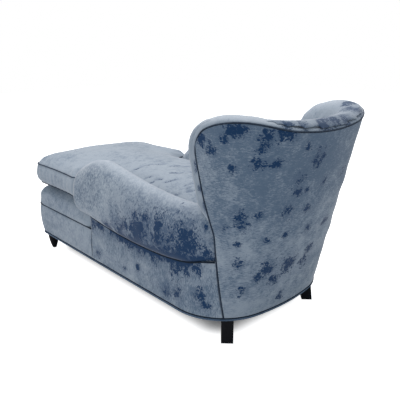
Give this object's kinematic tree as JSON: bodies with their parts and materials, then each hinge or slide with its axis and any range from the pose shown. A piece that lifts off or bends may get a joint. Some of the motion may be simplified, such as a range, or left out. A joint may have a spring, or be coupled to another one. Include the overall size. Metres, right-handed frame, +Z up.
{
  "type": "chaise longue",
  "caption": "Upholstered chaise longue with a winged tub back, low padded arms, a loose seat cushion and short dark feet, in crushed blue-grey velvet",
  "frame": {"origin": "on the floor, under the middle of the whole piece", "axes": "+Z up, the foot end points to -Y and the back to +Y, the sitter's left is +X"},
  "size_m": [0.7792, 1.5618, 0.856],
  "materials": {
    "velvet": "crushed velvet, pale blue-grey with navy patches where the pile lies over",
    "piping": "self-fabric velvet piping",
    "beech": "planed, unfinished",
    "ebonised_wood": "black lacquer, satin",
    "steel": "plain steel",
    "jute": "plain woven jute",
    "foam": "open-cell foam wrapped in fibre",
    "dust_cloth": "black non-woven cloth",
    "zip_plastic": "coil zip",
    "glide_plastic": "nail-on floor glide"
  },
  "bodies": {
    "base": {"seat_rail_left": "beech", "seat_rail_right": "beech", "foot_rail": "beech", "rear_seat_rail": "beech", "seat_stretchers": "beech", "frame_dowels": "beech", "arm_post_left": "beech", "arm_post_right": "beech", "arm_rail_left": "beech", "arm_rail_right": "beech", "wing_post_left": "beech", "wing_post_right": "beech", "back_post_left": "beech", "back_post_right": "beech", "back_top_rail": "beech", "lumbar_rail": "beech", "rear_leg_block_left": "beech", "rear_leg_block_right": "beech", "front_foot_left": "ebonised_wood", "front_foot_right": "ebonised_wood", "rear_leg_left": "ebonised_wood", "rear_leg_right": "ebonised_wood", "leg_bolts": "steel", "seat_springs": "steel", "spring_clips": "steel", "seat_deck": "velvet", "inside_back": "velvet", "arm_pad_left": "velvet", "arm_pad_right": "velvet", "outside_back": "velvet", "outside_arm_left": "velvet", "outside_arm_right": "velvet", "foot_border": "velvet", "back_welt": "piping", "base_welt": "piping", "border_welt": "piping", "seat_hessian": "jute", "back_webbing": "jute", "dust_cover": "dust_cloth", "floor_glides": "glide_plastic"},
    "cushion": {"cushion_cover": "velvet", "cushion_core": "foam", "cushion_welt_low": "piping", "cushion_welt_high": "piping", "cushion_zip": "zip_plastic"}
  },
  "joints": [
    {"name": "cushion_lift", "type": "slide", "parent": "base", "child": "cushion", "axis": [0, 0, 1], "range_m": [0, 0.3]}
  ]
}
